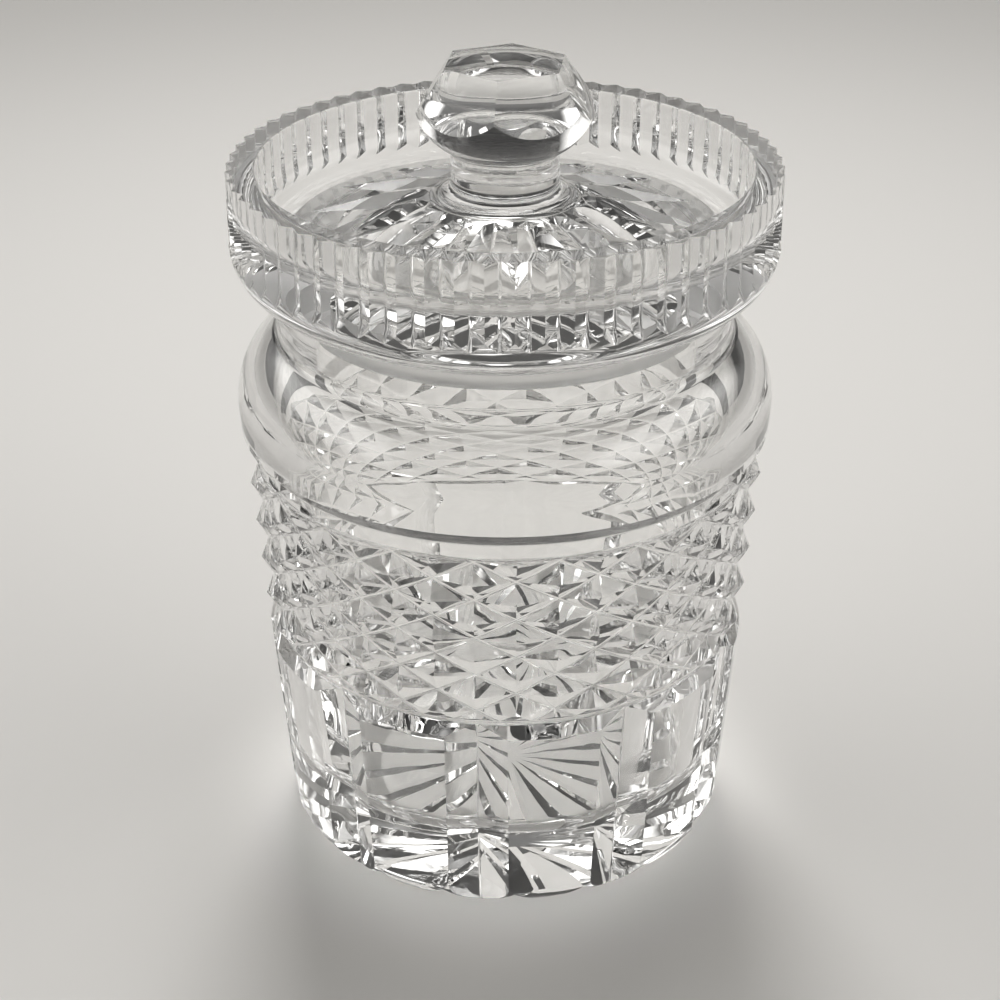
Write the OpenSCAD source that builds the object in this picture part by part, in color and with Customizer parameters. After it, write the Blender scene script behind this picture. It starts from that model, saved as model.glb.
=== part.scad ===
// Cut-crystal honey pot: a thick jar, a loose dished lid and the faceted knob joined to the lid.
// Millimetres, +Z up. The origin is the centre of the foot, on the table. The front is -Y.

/* [Jar] */
// Radius of the flat foot
foot_r = 33; // [30:0.5:35]
// Rounding between the foot and the wall
heel_round = 4.5; // [3:0.5:5]
// Outer radius of the wall at the lower ring cut
belt_r = 40; // [39:0.5:42]
// Height of the lower ring cut above the table
belt_z = 37.2; // [34:0.2:40]
// Largest outer radius, at the shoulder
shoulder_r = 43; // [42:0.5:45]
// Height of the largest outer radius above the table
shoulder_z = 77; // [76:0.5:80]
// Rounding of the shoulder
shoulder_round = 13.5; // [12:0.5:15]
// Outer radius of the neck
neck_r = 36; // [34:0.5:37]
// Rounding where the neck rises from the shoulder
neck_cove = 2.5; // [1:0.5:3]
// Height of the mouth's rim above the table
rim_z = 96; // [94:0.5:104]
// Bevel ground on the edges of the mouth's rim
rim_bevel = 0.6; // [0.3:0.1:1]

/* [Cavity] */
// Thickness of the glass at the shoulder
wall = 6; // [5:0.5:7]
// Thickness of the glass under the cavity
base_t = 12; // [9:0.5:15]
// Radius of the flat part of the cavity's floor
floor_r = 26.5; // [23:0.5:28]
// Rounding between the cavity's floor and its wall
floor_round = 5; // [3:0.5:7]
// Radius of the mouth
mouth_r = 30.5; // [29:0.5:32]
// Rounding of the glass inside the neck
lip_round = 4; // [3:0.5:5]

/* [Ring cuts] */
// Height of the upper ring cut's deepest line above the table
upper_ring_z = 70; // [68:0.5:71]
// Height of the plain band ground under that line, down to the diamonds
plain_band_h = 2.6; // [1:0.2:4]
// Depth of both ring cuts
ring_depth = 2; // [1.2:0.1:2.6]
// Height of a ring cut's slanting side at the surface
ring_side_h = 2.4; // [1.6:0.1:3]

/* [Diamond cut] */
// Diamonds in one row around the jar
diamond_count = 20; // [16:2:24]
// Rows of diamonds between the two ring cuts
diamond_rows = 4; // [3:1:5]
// Depth of the crossing grooves between the diamonds
diamond_depth = 1.6; // [0.8:0.1:2]
// How far the diamonds' points lie below the blown surface
diamond_land = 0.05; // [0.05:0.05:0.3]

/* [Foot cuts] */
// Depth of the upright mitre cuts below the lower ring
mitre_depth = 1.8; // [1:0.1:2]
// Half the width of an upright mitre cut at the surface
mitre_half_w = 4.9; // [3:0.1:6]
// Depth of the base star's rays at the edge of the foot
star_depth = 2.6; // [1.5:0.1:3.2]
// Width of the flat left between two rays of the base star
star_land = 1; // [0.6:0.1:2]
// Radius at which the rays of the base star start
star_start_r = 3; // [2:0.5:6]

/* [Lid] */
// How far the lid's outer wall stands out past the jar's shoulder
lid_proud = 0; // [-1:0.5:3]
// Height of the gallery's rim above the seat
lid_h = 19.2; // [17:0.2:22]
// Thickness of the gallery's wall
gallery_t = 4.6; // [4:0.1:6]
// Rounding of the lid's skirt, from the seat out to the gallery's wall
skirt_round = 8; // [6.5:0.5:9]
// Thickness of the lid at the lowest ring of its dish
dish_t = 8.9; // [8:0.1:10]
// Rounding between the dish's floor and the gallery
dish_round = 3; // [2:0.5:5]
// Gap all round between the locating flange and the mouth
flange_gap = 0.6; // [0.3:0.1:1]
// Height of the locating flange below the seat
flange_h = 5; // [3:0.5:7]
// Thickness of the locating flange
flange_t = 4.9; // [3.5:0.1:6]
// Height of the domed recess above the seat, at its edge
recess_edge_h = 1; // [0.5:0.1:2]
// Rise of the domed recess from its edge to its middle
recess_rise = 5; // [3:0.5:6]

/* [Lid cuts] */
// Upright flutes around the gallery
flute_count = 64; // [48:4:72]
// Depth of a flute
flute_depth = 1.2; // [0.8:0.1:1.6]
// Length of a flute, from the gallery's rim down to its tip
flute_len = 14; // [12:0.2:15]
// Length of the tapered lower end of a flute
flute_taper = 2.4; // [1:0.2:4]
// How far the ridges between flutes lie below the blown surface
flute_land = 0.1; // [0.05:0.05:0.3]
// Rays of the star cut into the dish's floor
ray_count = 16; // [12:2:20]
// Greatest depth of a ray
ray_depth = 2; // [1:0.1:2.6]
// Radius of the rays' outer points
ray_tip_r = 30.5; // [26:0.5:32]

/* [Knob] */
// Radius of the stem where the knob joins the lid's collar
stem_r = 8.4; // [7.5:0.1:9.2]
// Height of that joint above the seat
stem_z = 17; // [16:0.2:18]
// Rounding of the lid's collar
collar_cove = 3.4; // [2.6:0.2:4]
// Height of the knob above the joint
knob_h = 17.6; // [16:0.2:19]
// Largest radius of the knob's round bulb
bulb_r = 13.9; // [13:0.1:15]
// Rounding of the bulb
bulb_round = 8.5; // [8:0.1:9]
// Height of the bulb's largest radius above the joint
bulb_z = 12.2; // [11.6:0.2:13]
// Rounding between the stem and the bulb
stem_cove = 1.2; // [0.6:0.2:2]
// Flat facets round the knob
facet_count = 6; // [5:1:8]
// Distance from the axis to each side of the flat table on top
table_r = 8.6; // [8:0.1:9.4]
// Lean of the facets from upright, in degrees
facet_lean = 31.8; // [28:0.2:35]

/* [Hidden] */
$fn = 144;

// How far a cutting shape stands out past the surface that it cuts
clear = 2;
front = -90;

// Jar: circle centres and the straight walls that touch the rounded heel and shoulder
heel_c = [foot_r, heel_round];
shoulder_c = [shoulder_r - shoulder_round, shoulder_z];
belt_p = [belt_r, belt_z];
heel_p = touch(belt_p, heel_c, heel_round, -1);
shoulder_p = touch(belt_p, shoulder_c, shoulder_round, 1);
neck_c = cove_c(neck_r, shoulder_c, shoulder_round, neck_cove, 1);

// Cavity: a rounded floor edge and a shoulder that share one straight wall
floor_c = [floor_r, base_t + floor_round];
inner_round = shoulder_round - wall;
inner_turn = cavity_turn(floor_c, floor_round, shoulder_c, inner_round);
lip_c = cove_c(mouth_r, shoulder_c, inner_round, lip_round, 1);

// Diamond band: it fills the space between the two ring cuts
band_low = belt_z + ring_side_h;
band_high = upper_ring_z - plain_band_h - 0.2;
row_h = (band_high - band_low) / (2 * diamond_rows);
columns = 2 * diamond_count;
diamond_rise = 1;

// Foot cuts line up with the diamonds above
mitre_count = diamond_count / 2;
mitre_sag = belt_r - sqrt(belt_r * belt_r - mitre_half_w * mitre_half_w);
mitre_angle = atan(mitre_half_w / (mitre_depth - mitre_sag));
mitre_top = belt_z - 0.2;
star_half_w = foot_r * tan(180 / diamond_count) - star_land / 2;
star_angle = atan(star_half_w / star_depth);
star_slope = star_depth / (foot_r - star_start_r);

// Lid, from the seat on the jar's rim upwards
lid_r = shoulder_r + lid_proud;
seat_r = lid_r - skirt_round;
gallery_r = lid_r - gallery_t;
lid_top = rim_z + lid_h;
dish_c = [gallery_r - dish_round, rim_z + dish_t + dish_round];
collar_c = [stem_r + collar_cove, rim_z + stem_z];
collar_p = [collar_c[0], collar_c[1] - collar_cove];
dish_p = touch(collar_p, dish_c, dish_round, 1);
flange_r = mouth_r - flange_gap;
flange_in = flange_r - flange_t;
recess_round = (flange_in * flange_in + recess_rise * recess_rise) / (2 * recess_rise);
recess_top = rim_z + recess_edge_h + recess_rise;

// Lid cuts
ridge_r = lid_r - flute_land;
flute_angle = atan(ridge_r * tan(180 / flute_count) / (ridge_r - lid_r + flute_depth));
flute_low = lid_top - flute_len;
ray_angle = 60;
ray_deep_r = 0.6 * collar_c[0] + 0.4 * ray_tip_r;
ray_start = 0.3 * collar_cove;
ray_start_rise = 0.5 * collar_cove;
ray_start_depth = 0.6 * ray_depth;

// Knob
joint_z = rim_z + stem_z;
table_z = joint_z + knob_h;
bulb_c = [bulb_r - bulb_round, joint_z + bulb_z];
stem_c = cove_c(stem_r, bulb_c, bulb_round, stem_cove, -1);

// Point where a line from p touches a circle, on the side that the sign picks
function touch(p, c, r, side) =
    let (d = p - c, turn = atan2(d[1], d[0]) + side * acos(r / norm(d)))
    c + r * [cos(turn), sin(turn)];

// Direction, as an angle, of the line that touches two circles on their outer side
function cavity_turn(c1, r1, c2, r2) =
    let (d = c2 - c1) atan2(d[1], d[0]) - acos((r1 - r2) / norm(d));

// Outer radius of the jar's blown wall at a height between the heel and the shoulder
function wall_r(z) =
    let (p = z < belt_z ? heel_p : shoulder_p)
    belt_r + (p[0] - belt_r) * (z - belt_z) / (p[1] - belt_z);

// Height of the dish's floor at a radius between the collar and the rounding
function dish_z(r) =
    collar_p[1] + (dish_p[1] - collar_p[1]) * (r - collar_p[0]) / (dish_p[0] - collar_p[0]);

// Centre of a rounded inner corner between an upright line at x and a circle,
// above the circle (way 1) or below it (way -1)
function cove_c(x, c, r, q, way) =
    [x + q, c[1] + way * sqrt(pow(r + q, 2) - pow(x + q - c[0], 2))];

// Groove with a V section along keel points [r, z, reach]: it opens in a direction, as far as the reach.
// The keel runs down for a cut that opens outwards, outwards for one that opens up,
// and inwards for one that opens down.
module v_cut(keel, opens, half_angle) {
    last = len(keel) - 1;
    points = [for (k = keel) let (out = k[2] * opens, side = k[2] * tan(half_angle)) each [
        [k[0], 0, k[1]],
        [k[0] + out[0], side, k[1] + out[1]],
        [k[0] + out[0], -side, k[1] + out[1]]]];
    ends = [[0, 1, 2], [3 * last + 2, 3 * last + 1, 3 * last]];
    sides = [for (i = [0 : last - 1]) each [
        [3 * i, 3 * i + 3, 3 * i + 4, 3 * i + 1],
        [3 * i + 1, 3 * i + 4, 3 * i + 5, 3 * i + 2],
        [3 * i + 2, 3 * i + 5, 3 * i + 3, 3 * i]]];
    polyhedron(points, concat(ends, sides));
}

// Copies turned around the axis, the first one at an angle
module around(count, first) {
    for (i = [0 : count - 1]) rotate(first + i * 360 / count) children();
}

module jar_outer() {
    difference() {
        union() {
            polygon([[0, 0], [foot_r, 0], heel_p, belt_p, shoulder_p, shoulder_c, neck_c, [neck_r, neck_c[1]],
                [neck_r, rim_z - rim_bevel], [neck_r - rim_bevel, rim_z], [0, rim_z]]);
            translate(heel_c) circle(heel_round);
            translate(shoulder_c) circle(shoulder_round);
        }
        translate(neck_c) circle(neck_cove);
    }
}

module jar_cavity() {
    side = [cos(inner_turn), sin(inner_turn)];
    difference() {
        union() {
            polygon([[0, base_t], [floor_r, base_t], floor_c + floor_round * side,
                shoulder_c + inner_round * side, shoulder_c, lip_c, [mouth_r, lip_c[1]],
                [mouth_r, rim_z - rim_bevel], [mouth_r + rim_bevel, rim_z],
                [mouth_r + rim_bevel, rim_z + clear], [0, rim_z + clear]]);
            translate(floor_c) circle(floor_round);
            translate(shoulder_c) circle(inner_round);
        }
        translate(lip_c) circle(lip_round);
    }
}

// Ring cut with its deepest line at a height: one side slants up, and below the line it has either
// a side that slants down or, where a height is given, a plain upright band with a level lower edge
module ring_cut(z, band_h = 0) {
    deep = wall_r(z) - ring_depth;
    past = 1.5;
    outer = deep + past * ring_depth;
    below = band_h > 0 ? [[deep, z - band_h], [outer, z - band_h]] : [[outer, z - past * ring_side_h]];
    rotate_extrude() polygon(concat([[outer, z + past * ring_side_h], [deep, z]], below));
}

// Radius of the diamond band at a row and column: points and groove crossings alternate,
// and the first and last rows rise clear of the wall, so that the grooves run out in the ring cuts
function band_r(row, column) =
    wall_r(band_low + row * row_h)
    + (row < 0 || row > 2 * diamond_rows ? diamond_rise
        : (row + column) % 2 == 0 ? -diamond_depth : -diamond_land);

// Ring that leaves the diamonds standing when it is cut away
module diamond_cut() {
    rows = [-1 : 2 * diamond_rows + 1];
    row_count = 2 * diamond_rows + 3;
    step = 360 / columns;
    outer_r = shoulder_r + 2 * clear;
    low = band_low - row_h;
    high = band_high + row_h;
    band = [for (row = rows) for (c = [0 : columns - 1])
        let (r = band_r(row, c)) [r * cos(c * step), r * sin(c * step), band_low + row * row_h]];
    rim = [for (z = [low, high]) for (c = [0 : columns - 1])
        [outer_r * cos(c * step), outer_r * sin(c * step), z]];
    top = (row_count - 1) * columns;
    rim_low = row_count * columns;
    rim_high = rim_low + columns;
    facets = [for (i = [0 : row_count - 2]) for (c = [0 : columns - 1])
        let (a = i * columns + c, b = i * columns + (c + 1) % columns, d = a + columns, e = b + columns)
        each ((i + c) % 2 == 0 ? [[a, b, d], [b, e, d]] : [[a, b, e], [a, e, d]])];
    closing = [for (c = [0 : columns - 1]) let (n = (c + 1) % columns) each [
        [c, rim_low + c, rim_low + n, n],
        [top + c, top + n, rim_high + n, rim_high + c],
        [rim_low + c, rim_high + c, rim_high + n, rim_low + n]]];
    polyhedron(concat(band, rim), concat(facets, closing));
}

// Upright mitre cut, from the lower ring down over the heel
module mitre_cut() {
    ends = [mitre_top, -clear];
    v_cut([for (z = ends) [wall_r(z) - mitre_depth, z, mitre_depth + clear]], [1, 0], mitre_angle);
}

// Ray of the star under the base, deeper towards the edge
module star_cut() {
    past = 0.2;
    ends = [shoulder_r, star_start_r - 1];
    v_cut([for (r = ends) let (z = star_slope * (r - star_start_r)) [r, z, z + past]], [0, -1], star_angle);
}

module jar() {
    color([0.88, 0.91, 0.91, 0.45]) difference() {
        rotate_extrude() jar_outer();
        rotate_extrude() jar_cavity();
        ring_cut(belt_z);
        ring_cut(upper_ring_z, plain_band_h);
        rotate(front) diamond_cut();
        around(mitre_count, front) mitre_cut();
        around(diamond_count, front + 180 / diamond_count) star_cut();
    }
}

module lid_blank() {
    polygon([[0, rim_z], [seat_r, rim_z], [lid_r, rim_z + skirt_round], [lid_r, lid_top], [0, lid_top]]);
    translate([seat_r, rim_z + skirt_round]) intersection() {
        circle(skirt_round);
        translate([0, -skirt_round]) square(skirt_round);
    }
    polygon([[0, rim_z - flange_h], [flange_r - rim_bevel, rim_z - flange_h],
        [flange_r, rim_z - flange_h + rim_bevel], [flange_r, rim_z + clear], [0, rim_z + clear]]);
}

// Open space inside the gallery, over the dish's floor and round the collar
module lid_dish() {
    polygon([[0, joint_z], [stem_r, joint_z], collar_c, collar_p, dish_p, dish_c, [gallery_r, dish_c[1]],
        [gallery_r, lid_top + clear], [0, lid_top + clear]]);
    translate(dish_c) circle(dish_round);
    translate(collar_c) circle(collar_cove);
}

// Domed space under the lid, inside the locating flange
module lid_recess() {
    intersection() {
        translate([0, recess_top - recess_round]) circle(recess_round);
        translate([0, rim_z - flange_h - clear]) square([flange_in, flange_h + clear + 2 * recess_rise]);
    }
}

// Upright flute: full depth down from the rim, then a taper that runs out in a point
module flute_cut() {
    deep = lid_r - flute_depth;
    reach = flute_depth + clear;
    v_cut([[deep, lid_top + clear, reach], [deep, flute_low + flute_taper, reach], [lid_r, flute_low, reach],
        [lid_r + flute_depth, flute_low - flute_taper, reach]], [1, 0], flute_angle);
}

// Leaf-shaped ray of the lid's star: it starts in the collar's rounding and ends in a point
module ray_cut() {
    inner = collar_c[0];
    reach = ray_depth + clear;
    v_cut([[inner - ray_start, dish_z(inner) + ray_start_rise, reach],
        [inner + ray_start, dish_z(inner) - ray_start_depth, reach],
        [ray_deep_r, dish_z(ray_deep_r) - ray_depth, reach],
        [ray_tip_r, dish_z(ray_tip_r), reach],
        [ray_tip_r + clear, dish_z(ray_tip_r) + clear, reach]], [0, 1], ray_angle);
}

module lid() {
    color([0.9, 0.92, 0.92, 0.45]) difference() {
        rotate_extrude() difference() {
            lid_blank();
            lid_dish();
            lid_recess();
        }
        around(flute_count, front) flute_cut();
        around(ray_count, front) ray_cut();
    }
}

module knob_round() {
    difference() {
        union() {
            polygon([[0, joint_z], [stem_r, joint_z], [stem_r, stem_c[1]], stem_c, bulb_c,
                [bulb_c[0], table_z], [0, table_z]]);
            intersection() {
                translate(bulb_c) circle(bulb_round);
                translate([0, joint_z]) square([bulb_r, knob_h]);
            }
        }
        translate(stem_c) circle(stem_cove);
    }
}

// Half space outside one facet
module facet_cut() {
    size = 4 * bulb_r;
    translate([table_r, 0, table_z]) rotate([0, -facet_lean, 0])
        translate([0, -size / 2, -size / 2]) cube(size);
}

module knob() {
    color([0.9, 0.92, 0.93, 0.5]) difference() {
        rotate_extrude() knob_round();
        around(facet_count, front + 180 / facet_count) facet_cut();
    }
}

jar();
lid();
knob();
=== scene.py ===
"""Looks of a cut-crystal honey pot: clear cut glass on a plain pale floor, with soft light from both sides
and a window and a lamp high behind the pot."""

import math

import bmesh
import bpy
import numpy as np
from mathutils import Matrix, Vector


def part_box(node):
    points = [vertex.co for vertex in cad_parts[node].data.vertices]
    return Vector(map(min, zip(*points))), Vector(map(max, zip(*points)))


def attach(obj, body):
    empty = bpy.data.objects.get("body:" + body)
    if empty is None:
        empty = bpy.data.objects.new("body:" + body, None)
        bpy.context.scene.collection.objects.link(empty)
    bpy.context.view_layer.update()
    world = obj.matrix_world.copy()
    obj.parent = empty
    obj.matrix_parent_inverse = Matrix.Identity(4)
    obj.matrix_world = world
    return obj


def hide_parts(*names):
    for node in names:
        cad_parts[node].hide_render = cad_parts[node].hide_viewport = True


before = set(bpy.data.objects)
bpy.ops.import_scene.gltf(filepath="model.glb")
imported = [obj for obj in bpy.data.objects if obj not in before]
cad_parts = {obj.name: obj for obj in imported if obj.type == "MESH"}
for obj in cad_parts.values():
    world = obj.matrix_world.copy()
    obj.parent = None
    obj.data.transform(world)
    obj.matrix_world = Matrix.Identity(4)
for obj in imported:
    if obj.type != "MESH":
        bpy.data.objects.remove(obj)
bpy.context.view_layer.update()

# Sizes are in millimetres until a mesh is finished. The frame gives the heights and the widest radius.
MM = 0.001
RIM_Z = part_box("jar")[1].z / MM
LID_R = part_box("lid")[1].x / MM
LID_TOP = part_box("lid")[1].z / MM
FLANGE_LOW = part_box("lid")[0].z / MM
JOINT_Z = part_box("knob")[0].z / MM
TABLE_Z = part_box("knob")[1].z / MM

# Jar, with (radius, height) for the belt and for the centre of the shoulder's rounding
FOOT_R = 33.0
HEEL_ROUND = 4.5
BELT = (40.0, 37.2)
SHOULDER_ROUND = 13.5
SHOULDER = (LID_R - SHOULDER_ROUND, 77.0)
NECK_R = 36.0
NECK_COVE = 2.5
RIM_BEVEL = 0.6
WALL = 6.0
BASE_T = 12.0
FLOOR_R = 26.5
FLOOR_ROUND = 5.0
MOUTH_R = 30.5
LIP_ROUND = 4.0

# Cuts in the jar
UPPER_RING_Z = 70.0
PLAIN_BAND_H = 2.6
PLAIN_BAND_ROUND = 0.4
RING_DEPTH = 2.0
RING_SIDE_H = 2.4
RING_REACH = 1.5
DIAMONDS = 20
DIAMOND_ROWS = 4
DIAMOND_DEPTH = 1.6
DIAMOND_LAND = 0.05
DIAMOND_OVER = 0.6
ROWS_SPARE = 2
ROW_STEP = 0.25
BAND_GAP = 0.2
MITRES = DIAMONDS // 2
MITRE_DEPTH = 1.8
MITRE_HALF_W = 4.9
MITRE_GAP = 0.2
STAR_DEPTH = 2.6
STAR_LAND = 1.0
STAR_START_R = 3.0
STAR_OVER = 0.2
STAR_RUN_OUT = 1

# Lid and its cuts
GALLERY_R = LID_R - 4.6
SKIRT_ROUND = 8.0
SEAT_R = LID_R - SKIRT_ROUND
SEAT_GAP = 0.04
DISH_LOW = RIM_Z + 8.9
DISH_ROUND = 5.0
FLANGE_R = MOUTH_R - 0.6
FLANGE_IN = FLANGE_R - 4.9
RECESS_EDGE = RIM_Z + 1.0
RECESS_RISE = 5.0
EDGE_ROUND = 0.3
FLUTES = 64
FLUTE_DEPTH = 1.2
FLUTE_LOW = LID_TOP - 14.0
FLUTE_TAPER = 2.4
FLUTE_LAND = 0.1
FLUTE_OVER = 0.8
RAYS = 16
RAY_DEPTH = 2.0
RAY_TIP_R = 30.5
RAY_ANGLE = math.radians(60)
RAY_DEEP_AT = 0.4
RAY_OVER = 1.2

# Knob
STEM_R = 8.4
COLLAR_COVE = 3.4
BULB_R = 13.9
BULB_ROUND = 8.5
BULB_Z = JOINT_Z + 12.2
STEM_COVE = 1.2
FACETS = 6
TABLE_R = 8.6
FACET_LEAN = math.radians(31.8)
FACET_LOW = JOINT_Z + 5

# How the glass is meshed. A cutting shape stands out past what it cuts by CLEAR, or by the OVER of its kind,
# and a ring's cutting shape is RING_REACH times as large as the cut.
SEGMENTS = 320
ARC_STEP = math.radians(4)
CLEAR = 2.0
KEEL_ROUND = 0.65
SAME_POINT = 1e-6
ON_AXIS = 1e-9
# Directions: FRONT is an angle round the axis, DOWN an angle in a section
FRONT = -math.pi / 2
DOWN = -math.pi / 2
UP = np.array((0.0, 0.0, 1.0))
# Finishes, in the order of the glass materials
POLISHED = 0
GROUND = 1
BLOWN = 2

# Glass: its smudges come from a noise of this scale and detail, and start and end at these noise values
GLASS_COLOUR = (0.985, 0.985, 0.98, 1)
GLASS_IOR = 1.545
SMUDGE_SCALE = 45
SMUDGE_DETAIL = 4
SMUDGE_FROM = 0.45
SMUDGE_TO = 0.75
RELIEF_DETAIL = 1

# Stage, camera and lights, in metres and watts, but the camera's sensor and lens in millimetres
STAGE_R = 3.4
STAGE_Z = -0.00006
STAGE_POINTS = 120
STAGE_COLOUR = (0.72, 0.705, 0.68, 1)
STAGE_ROUGHNESS = 0.8
STAGE_SPECULAR = 0.2
CAMERA_AZIMUTH = math.radians(6.6)
CAMERA_ELEVATION = math.radians(28.13)
CAMERA_DISTANCE = 0.358
CAMERA_TARGET = Vector((0, 0, 0.056))
CAMERA_SENSOR = 36
CAMERA_LENS = 77.4
CAMERA_SHIFT = -0.005
CAMERA_NEAR = 0.01
KEY_PLACE = (-0.12, 0.63, 0.77)
KEY_TARGET = (0, 0.08, 0)
KEY_SIZE = (0.3, 0.3)
KEY_POWER = 0.56
KEY_SPREAD = math.radians(60)
UNDER_PLACE = (0, 0, 0.5)
UNDER_TARGET = (0, 0, 0)
UNDER_SIZE = (0.03, 0.03)
UNDER_POWER = 0.0125
UNDER_SPREAD = math.radians(10)

# Surroundings: (place, brightness) stops over how far a direction points sideways, up or to the window
SIDE_STOPS = [(0.58, 0), (0.72, 1.75)]
SIDE_HEIGHT_STOPS = [(0.15, 0), (0.3, 1), (0.66, 1), (0.8, 0)]
WINDOW_STOPS = [(0.972, 0), (0.985, 4.6)]
ROOM_STOPS = [(0, 0.11), (0.12, 0.03), (0.5, 0.07)]
WINDOW_ELEVATION = math.radians(62)
STUDIO_COLOUR = (1, 0.99, 0.97, 1)


def turn(vector):
    """Angle of a plane vector."""
    return math.atan2(vector[1], vector[0])


def touch(point, centre, radius, side):
    """Angle on a circle where a line from a point touches it, on the side that the sign picks."""
    away = np.subtract(point, centre)
    return turn(away) + side * math.acos(radius / math.hypot(*away))


def on_circle(centre, radius, angle):
    """Point of a circle at an angle."""
    return (centre[0] + radius * math.cos(angle), centre[1] + radius * math.sin(angle))


def cove_centre(x, centre, radius, cove, way):
    """Centre of the rounding between an upright line at x and a circle, above it (1) or below it (-1)."""
    rise = math.sqrt((radius + cove) ** 2 - (x + cove - centre[0]) ** 2)
    return (x + cove, centre[1] + way * rise)


def line(start, end, finish=POLISHED):
    """Straight run of an outline: two points with the normal on its right-hand side."""
    along = np.subtract(end, start) / math.dist(start, end)
    normal = (along[1], -along[0])
    return [(*start, *normal), (*end, *normal)], finish


def arc(centre, radius, first, last, finish=POLISHED):
    """Round run of an outline. Its normal points away from the centre where it turns left, else to it."""
    count = max(2, math.ceil(abs(last - first) / ARC_STEP))
    sign = 1 if last > first else -1
    angles = np.linspace(first, last, count + 1)
    return [(*on_circle(centre, radius, a), sign * math.cos(a), sign * math.sin(a)) for a in angles], finish


def wall_r(z):
    """Outer radius of the blown jar's straight walls at a height, or in line with them beyond their ends."""
    end = HEEL_P if z < BELT[1] else SHOULDER_P
    return BELT[0] + (end[0] - BELT[0]) * (z - BELT[1]) / (end[1] - BELT[1])


def dish_z(r):
    """Height of the dish's floor at a radius."""
    return COLLAR_P[1] + (DISH_P[1] - COLLAR_P[1]) * (r - COLLAR_P[0]) / (DISH_P[0] - COLLAR_P[0])


# Circle centres, the points and angles where straight walls touch them, and the grid of the diamonds
HEEL = (FOOT_R, HEEL_ROUND)
HEEL_TURN = touch(BELT, HEEL, HEEL_ROUND, -1)
HEEL_P = on_circle(HEEL, HEEL_ROUND, HEEL_TURN)
SHOULDER_TURN = touch(BELT, SHOULDER, SHOULDER_ROUND, 1)
SHOULDER_P = on_circle(SHOULDER, SHOULDER_ROUND, SHOULDER_TURN)
NECK = cove_centre(NECK_R, SHOULDER, SHOULDER_ROUND, NECK_COVE, 1)
INNER_ROUND = SHOULDER_ROUND - WALL
LIP = cove_centre(MOUTH_R, SHOULDER, INNER_ROUND, LIP_ROUND, 1)
FLOOR_C = (FLOOR_R, BASE_T + FLOOR_ROUND)
FLOOR_TO_SHOULDER = np.subtract(SHOULDER, FLOOR_C)
INNER_BEND = math.acos((FLOOR_ROUND - INNER_ROUND) / math.hypot(*FLOOR_TO_SHOULDER))
INNER_TURN = turn(FLOOR_TO_SHOULDER) - INNER_BEND
DISH_C = (GALLERY_R - DISH_ROUND, DISH_LOW + DISH_ROUND)
COLLAR_C = (STEM_R + COLLAR_COVE, JOINT_Z)
COLLAR_P = (COLLAR_C[0], COLLAR_C[1] - COLLAR_COVE)
DISH_TURN = touch(COLLAR_P, DISH_C, DISH_ROUND, 1)
DISH_P = on_circle(DISH_C, DISH_ROUND, DISH_TURN)
RECESS_ROUND = (FLANGE_IN ** 2 + RECESS_RISE ** 2) / (2 * RECESS_RISE)
RECESS_C = (0.0, RECESS_EDGE + RECESS_RISE - RECESS_ROUND)
BULB_C = (BULB_R - BULB_ROUND, BULB_Z)
STEM_C = cove_centre(STEM_R, BULB_C, BULB_ROUND, STEM_COVE, -1)
BAND_LOW = BELT[1] + RING_SIDE_H
BAND_HIGH = UPPER_RING_Z - PLAIN_BAND_H - BAND_GAP
ROW_H = (BAND_HIGH - BAND_LOW) / (2 * DIAMOND_ROWS)
COLUMN = math.pi / DIAMONDS


def jar_outline():
    """Runs of the jar's section, from the middle of the foot round to the middle of the cavity's floor."""
    neck_low = on_circle(NECK, NECK_COVE, math.pi)
    lip_top = on_circle(LIP, LIP_ROUND, math.pi)
    inner_low = on_circle(SHOULDER, INNER_ROUND, INNER_TURN)
    floor_high = on_circle(FLOOR_C, FLOOR_ROUND, INNER_TURN)
    to_neck = turn(np.subtract(NECK, SHOULDER))
    to_lip = turn(np.subtract(LIP, SHOULDER))
    return [
        line((0, 0), (FOOT_R, 0)),
        arc(HEEL, HEEL_ROUND, DOWN, HEEL_TURN),
        line(HEEL_P, BELT),
        line(BELT, SHOULDER_P),
        arc(SHOULDER, SHOULDER_ROUND, SHOULDER_TURN, to_neck),
        arc(NECK, NECK_COVE, to_neck + math.pi, math.pi),
        line(neck_low, (NECK_R, RIM_Z - RIM_BEVEL)),
        line((NECK_R, RIM_Z - RIM_BEVEL), (NECK_R - RIM_BEVEL, RIM_Z), GROUND),
        line((NECK_R - RIM_BEVEL, RIM_Z), (MOUTH_R + RIM_BEVEL, RIM_Z), GROUND),
        line((MOUTH_R + RIM_BEVEL, RIM_Z), (MOUTH_R, RIM_Z - RIM_BEVEL), GROUND),
        line((MOUTH_R, RIM_Z - RIM_BEVEL), lip_top, BLOWN),
        arc(LIP, LIP_ROUND, math.pi, to_lip + math.pi, BLOWN),
        arc(SHOULDER, INNER_ROUND, to_lip, INNER_TURN, BLOWN),
        line(inner_low, floor_high, BLOWN),
        arc(FLOOR_C, FLOOR_ROUND, INNER_TURN, DOWN, BLOWN),
        line((FLOOR_R, BASE_T), (0, BASE_T), BLOWN),
    ]


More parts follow.
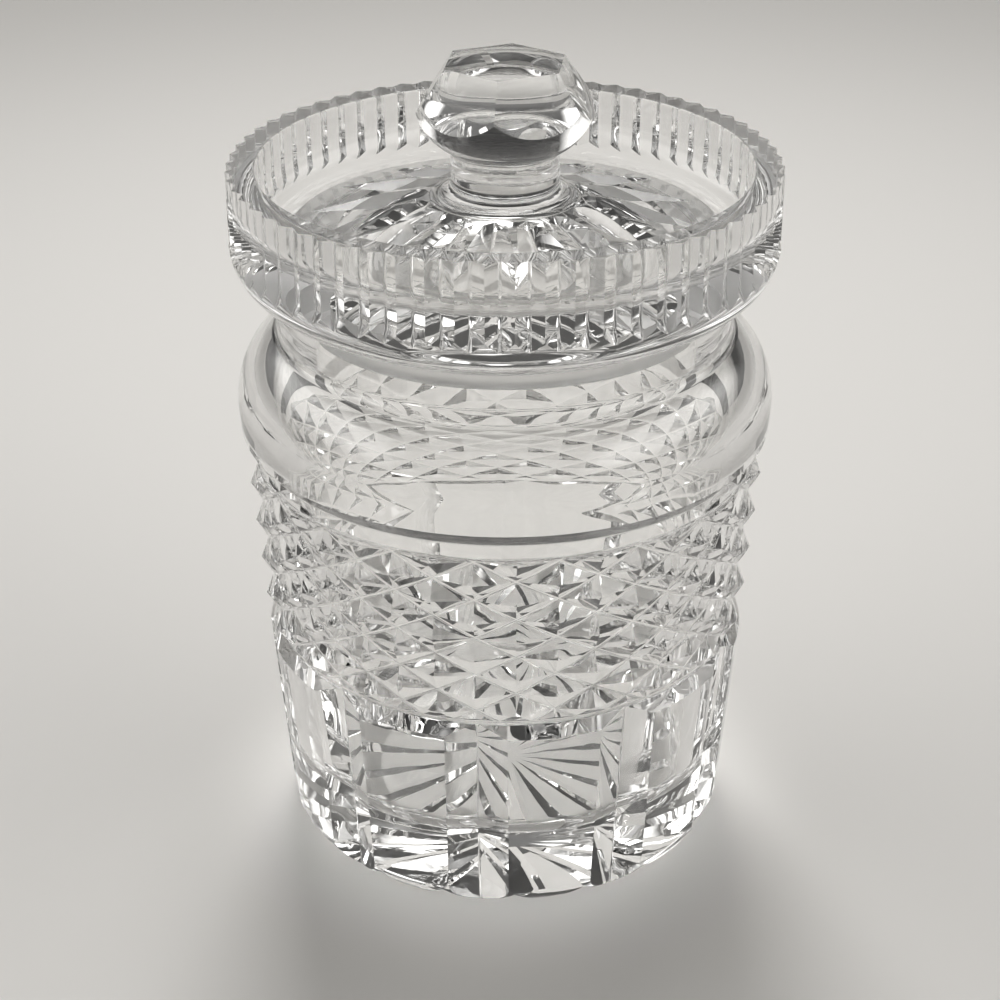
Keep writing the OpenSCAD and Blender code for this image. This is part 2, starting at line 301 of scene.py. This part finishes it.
def lid_outline():
    """Runs of the section of lid and knob, from the middle of the recess round to that of the table."""
    recess_turn = math.acos(FLANGE_IN / RECESS_ROUND)
    seat = RIM_Z + SEAT_GAP
    skirt_c = (SEAT_R, seat + SKIRT_ROUND)
    outer_edge = (LID_R - EDGE_ROUND, LID_TOP - EDGE_ROUND)
    inner_edge = (GALLERY_R + EDGE_ROUND, LID_TOP - EDGE_ROUND)
    to_stem = turn(np.subtract(STEM_C, BULB_C))
    bulb_top = math.asin((TABLE_Z - BULB_Z) / BULB_ROUND)
    table_edge = on_circle(BULB_C, BULB_ROUND, bulb_top)
    stem_high = on_circle(STEM_C, STEM_COVE, math.pi)
    return [
        arc(RECESS_C, RECESS_ROUND, math.pi / 2, recess_turn),
        line((FLANGE_IN, RECESS_EDGE), (FLANGE_IN, FLANGE_LOW)),
        line((FLANGE_IN, FLANGE_LOW), (FLANGE_R - RIM_BEVEL, FLANGE_LOW), GROUND),
        line((FLANGE_R - RIM_BEVEL, FLANGE_LOW), (FLANGE_R, FLANGE_LOW + RIM_BEVEL), GROUND),
        line((FLANGE_R, FLANGE_LOW + RIM_BEVEL), (FLANGE_R, seat), GROUND),
        line((FLANGE_R, seat), (SEAT_R, seat), GROUND),
        arc(skirt_c, SKIRT_ROUND, DOWN, 0),
        line((LID_R, skirt_c[1]), (LID_R, outer_edge[1])),
        arc(outer_edge, EDGE_ROUND, 0, math.pi / 2),
        line((outer_edge[0], LID_TOP), (inner_edge[0], LID_TOP)),
        arc(inner_edge, EDGE_ROUND, math.pi / 2, math.pi),
        line((GALLERY_R, inner_edge[1]), (GALLERY_R, DISH_C[1])),
        arc(DISH_C, DISH_ROUND, 0, DISH_TURN),
        line(DISH_P, COLLAR_P),
        arc(COLLAR_C, COLLAR_COVE, DOWN, -math.pi),
        line((STEM_R, JOINT_Z), stem_high),
        arc(STEM_C, STEM_COVE, math.pi, to_stem + math.pi),
        arc(BULB_C, BULB_ROUND, to_stem, bulb_top),
        line(table_edge, (0, TABLE_Z)),
    ]


def rounded(corners):
    """Runs of a closed outline through corners (across, up, rounding) that all turn left."""
    ends, runs = [], []
    for before, here, after in zip(corners[-1:] + corners, corners, corners[1:] + corners[:1]):
        into = np.subtract(here[:2], before[:2]) / math.dist(here[:2], before[:2])
        out = np.subtract(after[:2], here[:2]) / math.dist(after[:2], here[:2])
        bend = math.acos(np.clip(into @ out, -1, 1))
        reach = here[2] * math.tan(bend / 2)
        start = here[:2] - reach * into
        centre = start + here[2] * np.array((-into[1], into[0]))
        first = turn((into[1], -into[0]))
        ends.append((start, here[:2] + reach * out, centre, here[2], first, first + bend))
    for (_, leave, centre, rounding, first, last), after in zip(ends, ends[1:] + ends[:1]):
        if rounding:
            runs.append(arc(centre, rounding, first, last))
        runs.append(line(tuple(leave), tuple(after[0])))
    return runs


def v_section(half_angle, reach):
    """Closed section of a V cut, sideways and out of the glass, with a rounded keel at the origin."""
    side = KEEL_ROUND * math.cos(half_angle)
    low = KEEL_ROUND * (1 - math.sin(half_angle))
    wide = side + (reach - low) * math.tan(half_angle)
    return [
        line((-wide, reach), (-side, low)),
        arc((0, KEEL_ROUND), KEEL_ROUND, math.pi + half_angle, 2 * math.pi - half_angle),
        line((side, low), (wide, reach)),
        line((wide, reach), (-wide, reach)),
    ]


def loft(outline, stations, closed=False, cuts=False):
    """Skin through an outline at each station (origin, first axis, second axis).
    It gives points, faces, corner normals and face finishes. An outline that ends where it starts is a loop.
    Closed stations join the last to the first. The normals of a shape that cuts point into it."""
    edges = []
    for run, finish in outline:
        edges += [(a, b, finish) for a, b in zip(run, run[1:])]
    ring = [edge[0] for edge in edges]
    loop = math.dist(edges[-1][1][:2], ring[0][:2]) < SAME_POINT
    if not loop:
        ring.append(edges[-1][1])
    wide = len(ring)
    on_axis = [closed and abs(p[0]) < ON_AXIS for p in ring]
    points = []
    for origin, first, second in stations:
        points += [origin + p[0] * first + p[1] * second for p in ring]
    faces, normals, finishes = [], [], []
    sign = -1 if cuts else 1
    count = len(stations)
    for i in range(count if closed else count - 1):
        j = (i + 1) % count
        for k, (a, b, finish) in enumerate(edges):
            m = (k + 1) % wide
            here, there = stations[i], stations[j]
            corners = [(i, k, a, here), (j, k, a, there), (j, m, b, there), (i, m, b, here)]
            if on_axis[k]:
                corners.pop(1)
            elif on_axis[m]:
                corners.pop(2)
            faces.append([(0 if on_axis[q] else s) * wide + q for s, q, _, _ in corners])
            normals += [sign * (p[2] * at[1] + p[3] * at[2]) for _, _, p, at in corners]
            finishes.append(finish)
    if not closed:
        for i, order in ((0, range(wide)), (count - 1, range(wide - 1, -1, -1))):
            along = np.cross(stations[i][1], stations[i][2]) * (-sign if i else sign)
            faces.append([i * wide + q for q in order])
            normals += [along] * wide
            finishes.append(POLISHED)
    return points, faces, normals, finishes


def joined(shapes):
    """Several shapes as one."""
    points, faces, normals, finishes = [], [], [], []
    for more_points, more_faces, more_normals, more_finishes in shapes:
        faces += [[len(points) + v for v in face] for face in more_faces]
        points += more_points
        normals += more_normals
        finishes += more_finishes
    return points, faces, normals, finishes


def as_object(name, shape):
    """Mesh object of a shape, in millimetres, with its normals and finishes as attributes."""
    points, faces, normals, finishes = shape
    mesh = bpy.data.meshes.new(name)
    mesh.from_pydata([tuple(p) for p in points], [], faces)
    used = np.zeros(len(points), bool)
    used[[v for face in faces for v in face]] = True
    mesh.attributes.new("glass_normal", "FLOAT_VECTOR", "CORNER")
    mesh.attributes["glass_normal"].data.foreach_set("vector", np.array(normals, np.float32).ravel())
    mesh.attributes.new("finish", "INT", "FACE")
    mesh.attributes["finish"].data.foreach_set("value", np.array(finishes, np.int32))
    if not used.all():
        drop_loose(mesh)
    piece = bpy.data.objects.new(name, mesh)
    bpy.context.scene.collection.objects.link(piece)
    return piece


def drop_loose(mesh):
    """Deletes the points that no face uses, such as the copies of a point on the axis."""
    bm = bmesh.new()
    bm.from_mesh(mesh)
    loose = [v for v in bm.verts if not v.link_faces]
    bmesh.ops.delete(bm, geom=loose, context="VERTS")
    bm.to_mesh(mesh)
    bm.free()


def apply_boolean(piece, tool, operation):
    """Cuts the piece with the tool, or keeps what both hold, and deletes the tool."""
    step = piece.modifiers.new(operation, "BOOLEAN")
    step.operation = operation
    step.solver = "MANIFOLD"
    step.object = tool
    depsgraph = bpy.context.evaluated_depsgraph_get()
    old = piece.data
    piece.data = bpy.data.meshes.new_from_object(piece.evaluated_get(depsgraph), depsgraph=depsgraph)
    piece.modifiers.remove(step)
    bpy.data.meshes.remove(old)
    bpy.data.objects.remove(tool)


def carve(piece, *shapes):
    """Cuts shapes out of a piece, one after the other."""
    for shape in shapes:
        apply_boolean(piece, as_object("tool", shape), "DIFFERENCE")


def finish_glass(piece, materials, body, nodes):
    """Brings a piece to metres, shades it by its own normals and puts it in the frame."""
    mesh = piece.data
    mesh.transform(Matrix.Scale(MM, 4))
    normals = np.zeros(len(mesh.loops) * 3, np.float32)
    mesh.attributes["glass_normal"].data.foreach_get("vector", normals)
    normals = normals.reshape(-1, 3)
    normals /= np.linalg.norm(normals, axis=1, keepdims=True)
    finishes = np.zeros(len(mesh.polygons), np.int32)
    mesh.attributes["finish"].data.foreach_get("value", finishes)
    for name in ("glass_normal", "finish"):
        mesh.attributes.remove(mesh.attributes[name])
    mesh.materials.clear()
    for material in materials:
        mesh.materials.append(material)
    mesh.polygons.foreach_set("material_index", finishes)
    mesh.polygons.foreach_set("use_smooth", np.ones(len(mesh.polygons), bool))
    mesh.normals_split_custom_set(normals)
    mesh.update()
    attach(piece, body)
    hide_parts(*nodes)


def radial(angle):
    """Level direction at an angle round the axis."""
    return np.array((math.cos(angle), math.sin(angle), 0.0))


def revolved(outline, cuts=False):
    """Solid of an outline turned round the axis."""
    angles = np.arange(SEGMENTS) * 2 * math.pi / SEGMENTS
    return loft(outline, [(np.zeros(3), radial(a), UP) for a in angles], closed=True, cuts=cuts)


def along_keel(angle, keel, opens, section):
    """V cut in the upright plane at an angle. Its keel's points and its open side are (radius, height)."""
    out = opens[0] * radial(angle) + opens[1] * UP
    ahead = np.subtract(keel[1], keel[0])
    side = np.cross(ahead[0] * radial(angle) + ahead[1] * UP, out)
    side /= np.linalg.norm(side)
    return loft(section, [(r * radial(angle) + z * UP, side, out) for r, z in keel], cuts=True)


def around(count, first, make):
    """Shapes made at even angles round the axis, the first one at an angle."""
    return [make(first + i * 2 * math.pi / count) for i in range(count)]


def ring_cut(z, band_h=0):
    """Ring cut, deepest at a height, with two slanting sides or with a plain band below that height."""
    deep = wall_r(z) - RING_DEPTH
    outer = deep + RING_REACH * RING_DEPTH
    corners = [(outer, z + RING_REACH * RING_SIDE_H, 0), (deep, z, KEEL_ROUND)]
    if band_h:
        corners += [(deep, z - band_h, PLAIN_BAND_ROUND), (outer, z - band_h, 0)]
    else:
        corners.append((outer, z - RING_REACH * RING_SIDE_H, 0))
    return revolved(rounded(corners), cuts=True)


def diamond_groove(first, way):
    """Slanting V cut across the band, from one ring cut to the other."""
    lean = math.atan2(SHOULDER_P[0] - BELT[0], SHOULDER_P[1] - BELT[1])
    half_w = (BELT[0] + SHOULDER_P[0]) / 2 * COLUMN
    apart = half_w * ROW_H / math.hypot(half_w, ROW_H)
    half_angle = math.atan2(apart, DIAMOND_DEPTH - DIAMOND_LAND)
    steps = np.arange(-ROWS_SPARE, 2 * DIAMOND_ROWS + ROWS_SPARE + ROW_STEP / 2, ROW_STEP)
    keel = []
    for row in steps:
        z = BAND_LOW + row * ROW_H
        keel.append((wall_r(max(z, BELT[1])) - DIAMOND_DEPTH) * radial(first + way * row * COLUMN) + z * UP)
    stations = []
    for i, row in enumerate(steps):
        ahead = keel[min(i + 1, len(keel) - 1)] - keel[max(i - 1, 0)]
        ahead /= np.linalg.norm(ahead)
        out = math.cos(lean) * radial(first + way * row * COLUMN) - math.sin(lean) * UP
        out -= ahead * (out @ ahead)
        out /= np.linalg.norm(out)
        stations.append((keel[i], np.cross(ahead, out), out))
    return loft(v_section(half_angle, DIAMOND_DEPTH + DIAMOND_OVER), stations, cuts=True)


def cut_diamonds(jar):
    """Two sets of slanting cuts that cross and leave rows of diamonds between the ring cuts."""
    outer = LID_R + 2 * CLEAR
    band = [
        line((FLOOR_R, BELT[1]), (outer, BELT[1])),
        line((outer, BELT[1]), (outer, UPPER_RING_Z)),
        line((outer, UPPER_RING_Z), (FLOOR_R, UPPER_RING_Z)),
        line((FLOOR_R, UPPER_RING_Z), (FLOOR_R, BELT[1])),
    ]
    for way in (1, -1):
        for half in (0, 1):
            first = FRONT + 2 * half * COLUMN
            grooves = around(DIAMONDS // 2, first, lambda angle: diamond_groove(angle, way))
            tool = as_object("grooves", joined(grooves))
            apply_boolean(tool, as_object("band", revolved(band)), "INTERSECT")
            apply_boolean(jar, tool, "DIFFERENCE")


def mitre_cut(angle):
    """Upright V cut from the lower ring down over the heel."""
    sag = BELT[0] - math.sqrt(BELT[0] ** 2 - MITRE_HALF_W ** 2)
    half_angle = math.atan2(MITRE_HALF_W, MITRE_DEPTH - sag)
    keel = [(wall_r(z) - MITRE_DEPTH, z) for z in (BELT[1] - MITRE_GAP, -CLEAR)]
    return along_keel(angle, keel, (1, 0), v_section(half_angle, MITRE_DEPTH + CLEAR))


def star_cut(angle):
    """Ray of the star under the base, deeper towards the edge."""
    half_w = FOOT_R * math.tan(math.pi / DIAMONDS) - STAR_LAND / 2
    half_angle = math.atan2(half_w, STAR_DEPTH)
    slope = STAR_DEPTH / (FOOT_R - STAR_START_R)
    side = np.cross(UP, radial(angle))
    keel, reaches = [], []
    for r in (LID_R, STAR_START_R - STAR_RUN_OUT):
        z = slope * (r - STAR_START_R)
        keel.append(r * radial(angle) + z * UP)
        reaches.append(z + STAR_OVER)
    return tapered(half_angle, keel, side, -UP, reaches)


def flat_cut(points, faces):
    """Cutting shape with flat faces, shaded flat, with its normals pointing into it."""
    normals = []
    for face in faces:
        a, b, c = (points[v] for v in face[:3])
        normal = np.cross(b - a, c - a)
        normals += [-normal / np.linalg.norm(normal)] * len(face)
    return points, faces, normals, [POLISHED] * len(faces)


def tapered(half_angle, keel, side, out, reaches):
    """V cut whose reach, and so its width, changes from one end of its keel to the other."""
    points = []
    for origin, reach in zip(keel, reaches):
        wide = reach * math.tan(half_angle)
        points += [origin, origin + wide * side + reach * out, origin - wide * side + reach * out]
    return flat_cut(points, [[2, 1, 0], [3, 4, 5], [1, 4, 3, 0], [2, 5, 4, 1], [0, 3, 5, 2]])


def flute_cut(angle):
    """Upright flute of the gallery: full depth from the rim, then a taper that runs out in a point."""
    ridge = LID_R - FLUTE_LAND
    half_angle = math.atan2(ridge * math.tan(math.pi / FLUTES), FLUTE_DEPTH - FLUTE_LAND)
    deep = LID_R - FLUTE_DEPTH
    keel = [
        (deep, LID_TOP + CLEAR),
        (deep, FLUTE_LOW + FLUTE_TAPER),
        (LID_R, FLUTE_LOW),
        (LID_R + FLUTE_DEPTH, FLUTE_LOW - FLUTE_TAPER),
    ]
    return along_keel(angle, keel, (1, 0), v_section(half_angle, FLUTE_DEPTH + FLUTE_OVER))


def ray_cut(angle):
    """Leaf-shaped ray of the lid's star, from the collar's rounding to a point."""
    inner = COLLAR_C[0]
    run_in = 0.3 * COLLAR_COVE
    rise = 0.5 * COLLAR_COVE
    shallow = 0.6 * RAY_DEPTH
    deep_r = (1 - RAY_DEEP_AT) * inner + RAY_DEEP_AT * RAY_TIP_R
    keel = [
        (inner - run_in, dish_z(inner) + rise),
        (inner + run_in, dish_z(inner) - shallow),
        (deep_r, dish_z(deep_r) - RAY_DEPTH),
        (RAY_TIP_R, dish_z(RAY_TIP_R)),
        (RAY_TIP_R + CLEAR, dish_z(RAY_TIP_R) + CLEAR),
    ]
    return along_keel(angle, keel, (0, 1), v_section(RAY_ANGLE, RAY_DEPTH + RAY_OVER))


def facet_ring():
    """Ring that leaves the knob's flat facets standing when it is cut away."""
    high = TABLE_Z + CLEAR
    outer = 2 * BULB_R
    inner_low, inner_high = (TABLE_R + (TABLE_Z - z) * math.tan(FACET_LEAN) for z in (FACET_LOW, high))
    stretch = 1 / math.cos(math.pi / FACETS)
    section = [(inner_low, FACET_LOW), (outer, FACET_LOW), (outer, high), (inner_high, high)]
    sides = len(section)
    points, faces = [], []
    for i in range(FACETS):
        points += [r * stretch * radial(FRONT + i * 2 * math.pi / FACETS) + z * UP for r, z in section]
    for i in range(FACETS):
        j = (i + 1) % FACETS
        for k in range(sides):
            m = (k + 1) % sides
            faces.append([sides * i + k, sides * j + k, sides * j + m, sides * i + m])
    return flat_cut(points, faces)


def make_jar(materials):
    """Thick jar with its ring, diamond, mitre and star cuts."""
    jar = as_object("cut_jar", revolved(jar_outline()))
    carve(jar, ring_cut(BELT[1]), ring_cut(UPPER_RING_Z, PLAIN_BAND_H))
    cut_diamonds(jar)
    carve(jar, joined(around(MITRES, FRONT, mitre_cut)))
    carve(jar, joined(around(DIAMONDS, FRONT + COLUMN, star_cut)))
    finish_glass(jar, materials, "jar", ["jar"])


def make_lid(materials):
    """Lid and knob, one glass through the hot joint, with flutes, a star and facets."""
    lid = as_object("cut_lid", revolved(lid_outline()))
    step = 2 * math.pi / FLUTES
    for half in (0, 1):
        carve(lid, joined(around(FLUTES // 2, FRONT + half * step, flute_cut)))
    carve(lid, joined(around(RAYS, FRONT, ray_cut)))
    carve(lid, facet_ring())
    finish_glass(lid, materials, "lid", ["lid", "knob"])


def new_material(name):
    """Node material and its nodes and links."""
    material = bpy.data.materials.new(name)
    material.use_nodes = True
    return material, material.node_tree.nodes, material.node_tree.links


def noise_node(nodes, links, scale, detail):
    """Noise laid through the piece, as fine as the scale says."""
    place = nodes.new("ShaderNodeTexCoord")
    noise = nodes.new("ShaderNodeTexNoise")
    noise.inputs["Scale"].default_value = scale
    noise.inputs["Detail"].default_value = detail
    links.new(place.outputs["Object"], noise.inputs["Vector"])
    return noise


def glass_material(name, roughness, wave, grain):
    """Lead crystal. Roughness is (least, most). Wave and grain, its unevenness, are (scale, height)."""
    material, nodes, links = new_material(name)
    shader = nodes["Principled BSDF"]
    shader.inputs["Base Color"].default_value = GLASS_COLOUR
    shader.inputs["IOR"].default_value = GLASS_IOR
    shader.inputs["Transmission Weight"].default_value = 1.0
    smudge = noise_node(nodes, links, SMUDGE_SCALE, SMUDGE_DETAIL)
    spread = nodes.new("ShaderNodeMapRange")
    spread.inputs["From Min"].default_value = SMUDGE_FROM
    spread.inputs["From Max"].default_value = SMUDGE_TO
    spread.inputs["To Min"].default_value = roughness[0]
    spread.inputs["To Max"].default_value = roughness[1]
    links.new(smudge.outputs["Fac"], spread.inputs["Value"])
    links.new(spread.outputs["Result"], shader.inputs["Roughness"])
    below = None
    for scale, height in (wave, grain):
        bump = nodes.new("ShaderNodeBump")
        bump.inputs["Distance"].default_value = height
        relief = noise_node(nodes, links, scale, RELIEF_DETAIL)
        links.new(relief.outputs["Fac"], bump.inputs["Height"])
        if below:
            links.new(below.outputs["Normal"], bump.inputs["Normal"])
        below = bump
    links.new(below.outputs["Normal"], shader.inputs["Normal"])
    return material


def make_floor():
    """Plain pale floor, round so that no corner shows from a low angle."""
    edge = [on_circle((0, 0), STAGE_R, i * 2 * math.pi / STAGE_POINTS) for i in range(STAGE_POINTS)]
    mesh = bpy.data.meshes.new("floor")
    mesh.from_pydata([(x, y, STAGE_Z) for x, y in edge], [], [list(range(STAGE_POINTS))])
    material, nodes, _ = new_material("pale_floor")
    shader = nodes["Principled BSDF"]
    shader.inputs["Base Color"].default_value = STAGE_COLOUR
    shader.inputs["Roughness"].default_value = STAGE_ROUGHNESS
    shader.inputs["Specular IOR Level"].default_value = STAGE_SPECULAR
    mesh.materials.append(material)
    floor = bpy.data.objects.new("floor", mesh)
    bpy.context.scene.collection.objects.link(floor)


def make_camera():
    """Camera at the photograph's angle: a little to the right of the front, looking down on the pot."""
    back = Vector((
        math.sin(CAMERA_AZIMUTH) * math.cos(CAMERA_ELEVATION),
        -math.cos(CAMERA_AZIMUTH) * math.cos(CAMERA_ELEVATION),
        math.sin(CAMERA_ELEVATION),
    ))
    data = bpy.data.cameras.new("camera")
    data.sensor_width = CAMERA_SENSOR
    data.lens = CAMERA_LENS
    data.shift_x = CAMERA_SHIFT
    data.clip_start = CAMERA_NEAR
    camera = bpy.data.objects.new("camera", data)
    camera.location = CAMERA_TARGET + CAMERA_DISTANCE * back
    camera.rotation_euler = (-back).to_track_quat("-Z", "Y").to_euler()
    bpy.context.scene.collection.objects.link(camera)
    bpy.context.scene.camera = camera


def make_light(name, place, target, size, power):
    """Soft rectangular lamp at a place, aimed at a target."""
    data = bpy.data.lights.new(name, "AREA")
    data.shape = "RECTANGLE"
    data.size, data.size_y = size
    data.energy = power
    lamp = bpy.data.objects.new(name, data)
    lamp.location = place
    lamp.rotation_euler = (Vector(target) - Vector(place)).to_track_quat("-Z", "Y").to_euler()
    bpy.context.scene.collection.objects.link(lamp)
    return lamp


def make_lights():
    """Lamp high behind the pot, and a shadowless one for light that a sheet spreads under it."""
    key = make_light("key", KEY_PLACE, KEY_TARGET, KEY_SIZE, KEY_POWER)
    key.data.spread = KEY_SPREAD
    spread = make_light("spread", UNDER_PLACE, UNDER_TARGET, UNDER_SIZE, UNDER_POWER)
    spread.data.spread = UNDER_SPREAD
    spread.data.use_shadow = False
    for lamp in (key, spread):
        lamp.visible_glossy = False
        lamp.visible_transmission = False


def direction_ramp(nodes, links, value, stops):
    """Brightness over a value from 0 to 1, through (place, brightness) stops."""
    ramp = nodes.new("ShaderNodeValToRGB")
    elements = ramp.color_ramp.elements
    elements.remove(elements[1])
    elements[0].position = stops[0][0]
    for place, _ in stops[1:]:
        elements.new(place)
    for element, (_, bright) in zip(elements, stops):
        element.color = (bright, bright, bright, 1)
    links.new(value, ramp.inputs["Fac"])
    return ramp.outputs["Color"]


def combined(nodes, links, operation, first, second):
    """Two values joined by a sum or another operation."""
    step = nodes.new("ShaderNodeMath")
    step.operation = operation
    links.new(first, step.inputs[0])
    links.new(second, step.inputs[1])
    return step.outputs["Value"]


def make_world():
    """Soft studio: a broad soft light on each side, a window high behind the pot, and a dim room."""
    world = bpy.data.worlds.new("studio")
    world.use_nodes = True
    nodes, links = world.node_tree.nodes, world.node_tree.links
    place = nodes.new("ShaderNodeTexCoord")
    split = nodes.new("ShaderNodeSeparateXYZ")
    sideways = nodes.new("ShaderNodeMath")
    sideways.operation = "ABSOLUTE"
    window = nodes.new("ShaderNodeVectorMath")
    window.operation = "DOT_PRODUCT"
    window.inputs[1].default_value = (0, math.cos(WINDOW_ELEVATION), math.sin(WINDOW_ELEVATION))
    links.new(place.outputs["Generated"], split.inputs["Vector"])
    links.new(split.outputs["X"], sideways.inputs[0])
    links.new(place.outputs["Generated"], window.inputs[0])
    side = direction_ramp(nodes, links, sideways.outputs["Value"], SIDE_STOPS)
    height = direction_ramp(nodes, links, split.outputs["Z"], SIDE_HEIGHT_STOPS)
    glow = direction_ramp(nodes, links, window.outputs["Value"], WINDOW_STOPS)
    room = direction_ramp(nodes, links, split.outputs["Z"], ROOM_STOPS)
    lit = combined(nodes, links, "MULTIPLY", side, height)
    lit = combined(nodes, links, "ADD", lit, glow)
    nodes["Background"].inputs["Color"].default_value = STUDIO_COLOUR
    links.new(combined(nodes, links, "ADD", lit, room), nodes["Background"].inputs["Strength"])
    bpy.context.scene.world = world


scene = bpy.context.scene
scene.view_settings.view_transform = "Standard"
scene.cycles.max_bounces = 24
scene.cycles.transmission_bounces = 24
scene.cycles.glossy_bounces = 12

make_camera()
glass = [
    glass_material("polished_crystal", roughness=(0.0, 0.015), wave=(160, 0.00003), grain=(500, 0.000002)),
    glass_material("ground_crystal", roughness=(0.42, 0.56), wave=(300, 0.00001), grain=(4000, 0.00001)),
    glass_material("blown_crystal", roughness=(0.0, 0.02), wave=(90, 0.00012), grain=(260, 0.00001)),
]
make_jar(glass)
make_lid(glass)
make_floor()
make_world()
make_lights()
